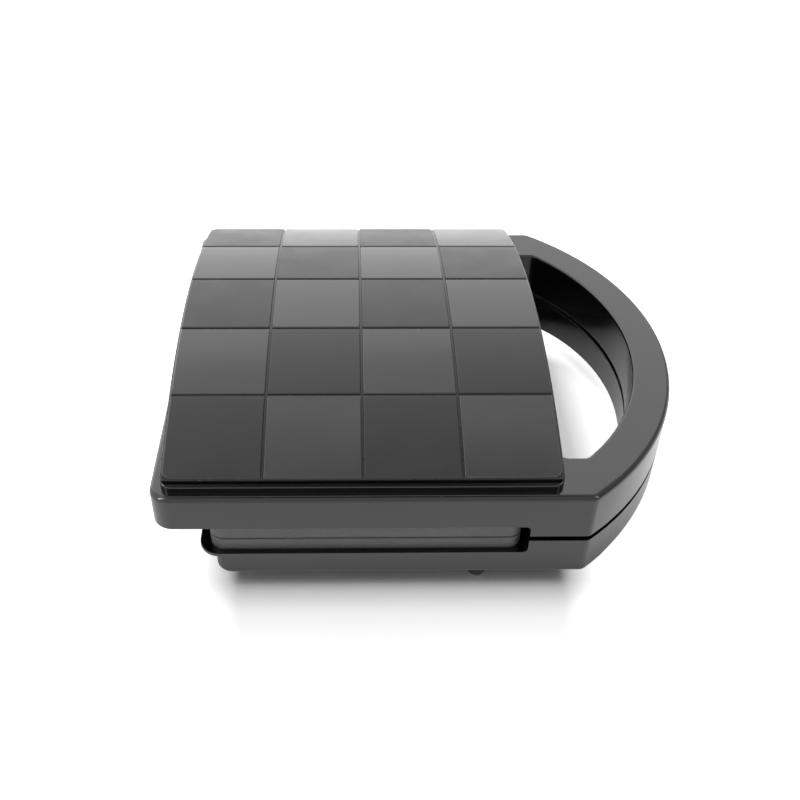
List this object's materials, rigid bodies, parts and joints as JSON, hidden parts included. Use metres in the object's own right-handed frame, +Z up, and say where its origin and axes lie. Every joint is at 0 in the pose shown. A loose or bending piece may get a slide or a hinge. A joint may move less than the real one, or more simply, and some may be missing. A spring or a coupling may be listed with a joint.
{
  "type": "waffle cone maker",
  "caption": "Closed clamshell waffle cone maker with a vaulted checker lid, a D-shaped loop handle and two gridded baking plates on a rear hinge.",
  "frame": {"origin": "middle of the box round the closed appliance, on the surface that it stands on", "axes": "+X towards the loop handle, -X towards the hinge, +Y towards its left side, +Z up"},
  "size_m": [0.264, 0.237, 0.0862],
  "materials": {
    "gloss_black": "polished moulding",
    "tiles": "alternate satin and polished squares",
    "satin_black": "fine spark texture",
    "cast_plate": "non-stick coating",
    "sheet_steel": "mill finish",
    "heater": "oxidised tube",
    "screw_steel": "zinc plated",
    "pin_steel": "turned",
    "foot_rubber": "matt",
    "gland_rubber": "matt",
    "wire": "glass-fibre sleeve",
    "phenolic": "moulded",
    "fuse_case": "drawn"
  },
  "bodies": {
    "base": {"lower_housing": "gloss_black", "base_cover": "satin_black", "lower_handle_cover": "satin_black", "lower_plate": "cast_plate", "lower_reflector": "sheet_steel", "lower_element": "heater", "lower_element_clips": "sheet_steel", "thermostat": "phenolic", "thermal_fuse": "fuse_case", "terminal_block": "phenolic", "cord_gland": "gland_rubber", "lower_leads": "wire", "front_foot_right": "foot_rubber", "front_foot_left": "foot_rubber", "rear_foot_right": "foot_rubber", "rear_foot_left": "foot_rubber", "lower_plate_screws": "screw_steel", "base_screws": "screw_steel", "lower_handle_screws": "screw_steel"},
    "lid": {"upper_housing": "gloss_black", "lid_cover": "gloss_black", "checker_panel": "tiles", "upper_bezel": "satin_black", "upper_handle_cover": "satin_black", "upper_plate": "cast_plate", "upper_reflector": "sheet_steel", "upper_element": "heater", "upper_element_clips": "sheet_steel", "upper_leads": "wire", "upper_plate_screws": "screw_steel", "cover_screws": "screw_steel", "bezel_screws": "screw_steel", "upper_handle_screws": "screw_steel", "hinge_pin_left": "pin_steel", "hinge_pin_right": "pin_steel"}
  },
  "joints": [
    {"name": "lid_hinge", "type": "hinge", "parent": "base", "child": "lid", "pos_m": [-0.1206, 0, 0.0302], "axis": [0, -1, 0], "range_deg": [0, 105]}
  ]
}
